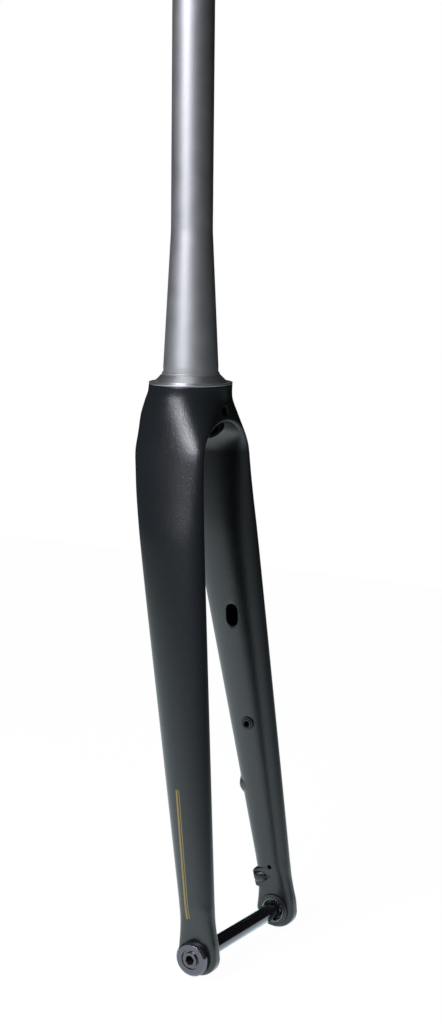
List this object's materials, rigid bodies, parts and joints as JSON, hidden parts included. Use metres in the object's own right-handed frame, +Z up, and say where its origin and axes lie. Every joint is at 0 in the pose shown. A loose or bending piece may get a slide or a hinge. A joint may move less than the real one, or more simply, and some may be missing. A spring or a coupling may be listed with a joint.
{
  "type": "disc-brake bicycle fork",
  "caption": "Rigid bicycle fork: tapered steerer bonded in a broad crown, two hollow blades, disc-brake bosses and a screwed through axle.",
  "frame": {"origin": "centre of the crown's top face, where the lower headset bearing sits", "axes": "+Z up the steerer axis, +X to the rider's left, -Y forwards"},
  "size_m": [0.1286, 0.0905, 0.7044],
  "materials": {
    "fork_body": "satin black paint on moulded carbon composite",
    "steerer": "fine blasted aluminium",
    "race": "turned aluminium",
    "star_nut": "zinc-plated steel",
    "insert_black": "black anodised aluminium",
    "insert_bright": "machined aluminium",
    "axle": "polished black anodised aluminium",
    "washer": "bright steel"
  },
  "bodies": {
    "root": {"fork_body": "fork_body", "steerer": "steerer", "crown_race": "race", "star_nut_core": "star_nut", "star_washer_upper": "star_nut", "star_washer_lower": "star_nut", "crown_sleeve_front": "insert_black", "crown_sleeve_rear": "insert_black", "hose_clip_insert": "insert_black", "brake_insert_upper": "insert_bright", "brake_insert_lower": "insert_bright", "left_axle_insert": "insert_bright", "right_axle_insert": "insert_bright", "thru_axle": "axle", "axle_washer": "washer"}
  },
  "joints": []
}
